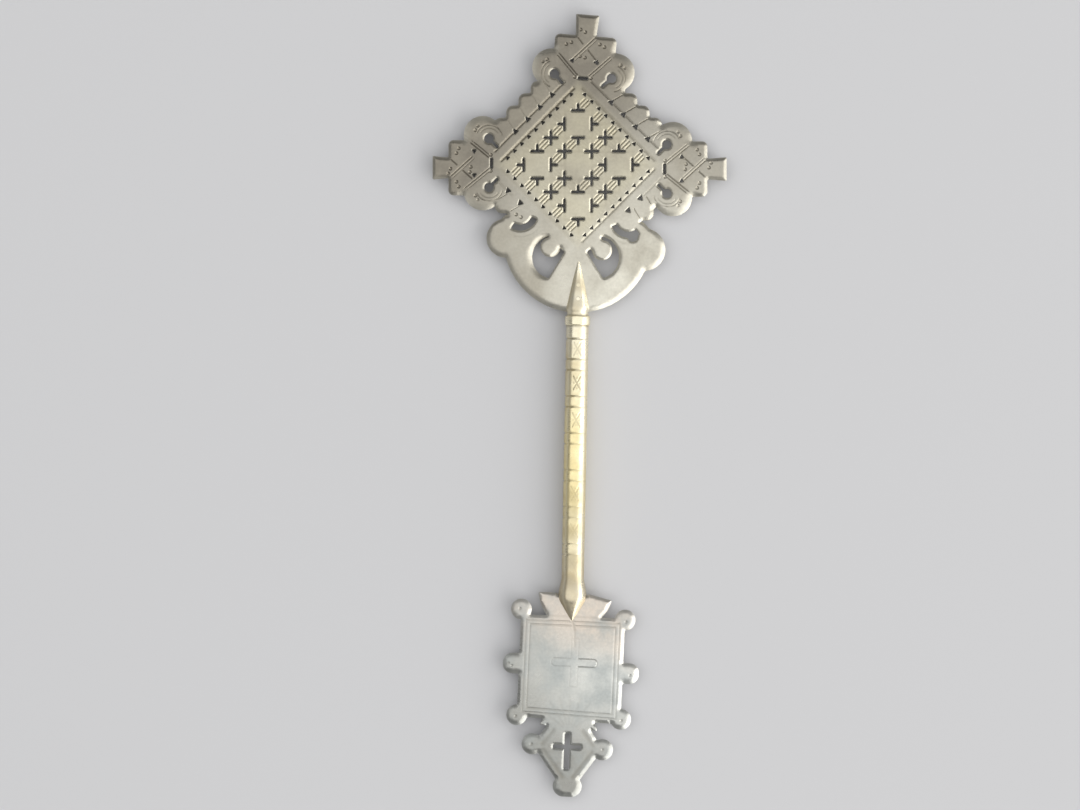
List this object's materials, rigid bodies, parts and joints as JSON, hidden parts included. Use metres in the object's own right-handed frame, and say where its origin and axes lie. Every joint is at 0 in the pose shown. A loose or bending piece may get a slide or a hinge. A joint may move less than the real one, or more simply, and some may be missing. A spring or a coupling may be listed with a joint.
{
  "type": "ethiopian hand cross",
  "caption": "Hand-held blessing cross: a pierced lattice head plate and a square tablet plate with a pierced pendant, riveted into the forked ends of an eight-sided brass shaft with a collar.",
  "frame": {"origin": "under the middle of the outline, on the surface the cross lies on with its back down", "axes": "+Y up the shaft from the tablet to the head, +Z out of the front, +X to the right as seen from the front"},
  "size_m": [0.1279, 0.34, 0.011],
  "materials": {
    "white_metal": "worn satin nickel silver, chased and hand polished",
    "shaft_brass": "hand-worn polish, with incised rings",
    "rivet_brass": "filed flush"
  },
  "bodies": {
    "root": {"head_plate": "white_metal", "shaft": "shaft_brass", "upper_collar": "shaft_brass", "tablet_plate": "white_metal", "head_rivets": "rivet_brass", "tablet_rivets": "rivet_brass"}
  },
  "joints": []
}
